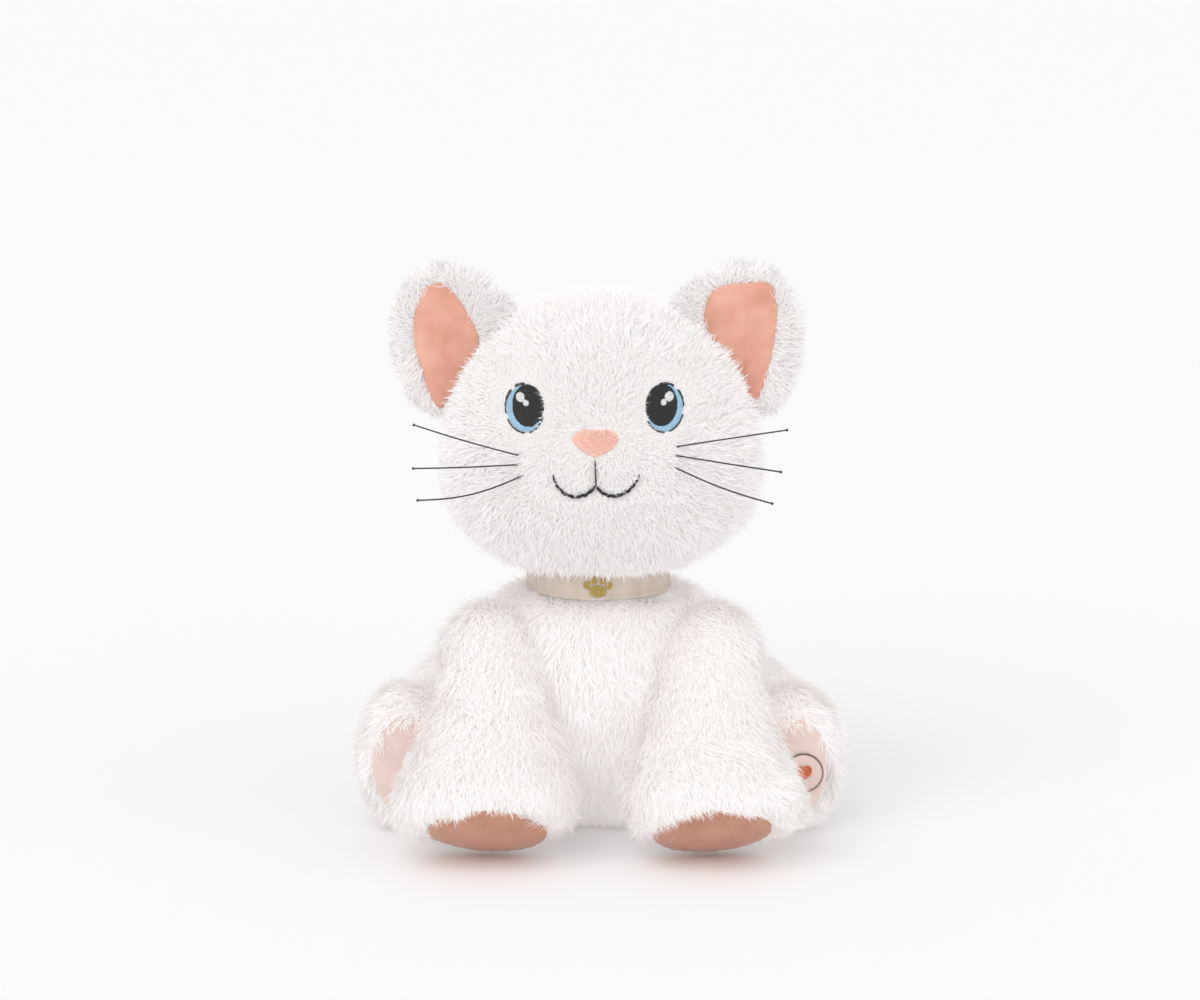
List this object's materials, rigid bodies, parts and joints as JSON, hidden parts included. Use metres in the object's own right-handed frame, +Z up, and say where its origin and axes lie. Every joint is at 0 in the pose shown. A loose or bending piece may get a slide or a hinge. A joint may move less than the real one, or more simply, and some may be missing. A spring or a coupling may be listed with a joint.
{
  "type": "interactive plush pet",
  "caption": "Sitting long-pile plush kitten with a motor-turned head, a sprung paw switch, hinged forelegs, a ribbon collar and a battery case in its seat.",
  "frame": {"origin": "centre of the bounding box's underside, on the surface the pet sits on", "axes": "-Y is the way the pet faces, +Z up, +X its own left"},
  "size_m": [0.214, 0.2006, 0.2522],
  "materials": {
    "white_plush": "long-pile polyester plush",
    "fibre_filling": "loose polyester fibre",
    "sleeve_knit": "brushed knit",
    "ribbon": "woven satin ribbon",
    "coral_satin": "satin",
    "pale_satin": "satin",
    "eye_thread": "embroidered",
    "nose_thread": "embroidered",
    "mouth_thread": "embroidered",
    "whisker_nylon": "nylon filament",
    "mark_thread": "embroidered",
    "moulded_plastic": "fine spark texture",
    "dark_plastic": "moulded",
    "cone_paper": "pressed paper cone",
    "steel": "plated",
    "screw_steel": "zinc plated",
    "cell_jacket": "plain jacket",
    "board_laminate": "solder mask",
    "gear_plastic": "acetal",
    "wire_jacket": "insulated wire",
    "dome_rubber": "silicone"
  },
  "bodies": {
    "torso": {"torso_skin": "white_plush", "torso_stuffing": "fibre_filling", "neck_sleeve": "sleeve_knit", "collar_ribbon": "ribbon", "left_hind_leg": "white_plush", "right_hind_leg": "white_plush", "left_hind_sole": "pale_satin", "right_hind_sole": "pale_satin", "case_front": "moulded_plastic", "case_rear": "moulded_plastic", "base_plate": "moulded_plastic", "battery_box": "moulded_plastic", "battery_cells": "cell_jacket", "battery_contacts": "steel", "switch_body": "moulded_plastic", "circuit_board": "board_laminate", "board_parts": "dark_plastic", "speaker_basket": "dark_plastic", "speaker_cone": "cone_paper", "speaker_magnet": "steel", "motor_can": "steel", "gearbox_floor": "moulded_plastic", "gearbox_cover": "moulded_plastic", "gear_pins": "steel", "module_screws": "screw_steel", "wiring": "wire_jacket", "press_pod": "moulded_plastic", "press_dome": "dome_rubber"},
    "head": {"head_skin": "white_plush", "head_stuffing": "fibre_filling", "skull_shell": "moulded_plastic", "skull_plate": "moulded_plastic", "skull_screw": "screw_steel", "left_ear": "white_plush", "right_ear": "white_plush", "left_ear_lining": "coral_satin", "right_ear_lining": "coral_satin", "left_eye": "eye_thread", "right_eye": "eye_thread", "nose": "nose_thread", "mouth": "mouth_thread", "left_whiskers": "whisker_nylon", "right_whiskers": "whisker_nylon", "head_shaft": "steel", "output_gear": "gear_plastic"},
    "second_gear": {"second_gear": "gear_plastic"},
    "first_gear": {"first_gear": "gear_plastic"},
    "motor_rotor": {"motor_shaft": "steel", "motor_pinion": "gear_plastic"},
    "left_foreleg": {"left_foreleg": "white_plush", "left_fore_sole": "coral_satin"},
    "right_foreleg": {"right_foreleg": "white_plush", "right_fore_sole": "coral_satin"},
    "tail": {"tail": "white_plush"},
    "press_plunger": {"press_plunger": "moulded_plastic", "press_mark": "mark_thread"},
    "power_knob": {"switch_knob": "dark_plastic"},
    "battery_door": {"battery_door": "moulded_plastic", "door_screw": "screw_steel"}
  },
  "joints": [
    {"name": "head_turn", "type": "hinge", "parent": "torso", "child": "head", "pos_m": [0, -0.0064, 0.12], "axis": [0, 0, 1], "range_deg": [-30, 30]},
    {"name": "second_gear_turn", "type": "hinge", "parent": "torso", "child": "second_gear", "pos_m": [0, 0.0071, 0.07], "axis": [0, 0, 1], "range_deg": [-105, 105]},
    {"name": "first_gear_turn", "type": "hinge", "parent": "torso", "child": "first_gear", "pos_m": [0.00675, 0.01879, 0.066], "axis": [0, 0, 1], "range_deg": [-367.5, 367.5]},
    {"name": "motor_turn", "type": "hinge", "parent": "torso", "child": "motor_rotor", "pos_m": [-0.00675, 0.01879, 0.06], "axis": [0, 0, 1], "range_deg": [-1286.25, 1286.25]},
    {"name": "left_foreleg_lift", "type": "hinge", "parent": "torso", "child": "left_foreleg", "pos_m": [0.045, -0.0284, 0.08], "axis": [-1, 0, 0], "range_deg": [0, 30]},
    {"name": "right_foreleg_lift", "type": "hinge", "parent": "torso", "child": "right_foreleg", "pos_m": [-0.045, -0.0284, 0.08], "axis": [-1, 0, 0], "range_deg": [0, 30]},
    {"name": "tail_swing", "type": "hinge", "parent": "torso", "child": "tail", "pos_m": [0, 0.0616, 0.021], "axis": [0, 0, 1], "range_deg": [-10, 10]},
    {"name": "press_button", "type": "slide", "parent": "torso", "child": "press_plunger", "axis": [0, 1, 0], "range_m": [0, 0.002], "stiffness_N_per_m": 1500, "springref_m": -0.0005},
    {"name": "power_slide", "type": "slide", "parent": "torso", "child": "power_knob", "axis": [0, 1, 0], "range_m": [0, 0.003]},
    {"name": "battery_door_removal", "type": "slide", "parent": "torso", "child": "battery_door", "axis": [0, 0, -1], "range_m": [0, 0.03]}
  ],
  "couplings": [
    {"joint": "second_gear_turn", "follows": "head_turn", "ratio": -3.5},
    {"joint": "first_gear_turn", "follows": "head_turn", "ratio": 12.25},
    {"joint": "motor_turn", "follows": "head_turn", "ratio": -42.875}
  ]
}
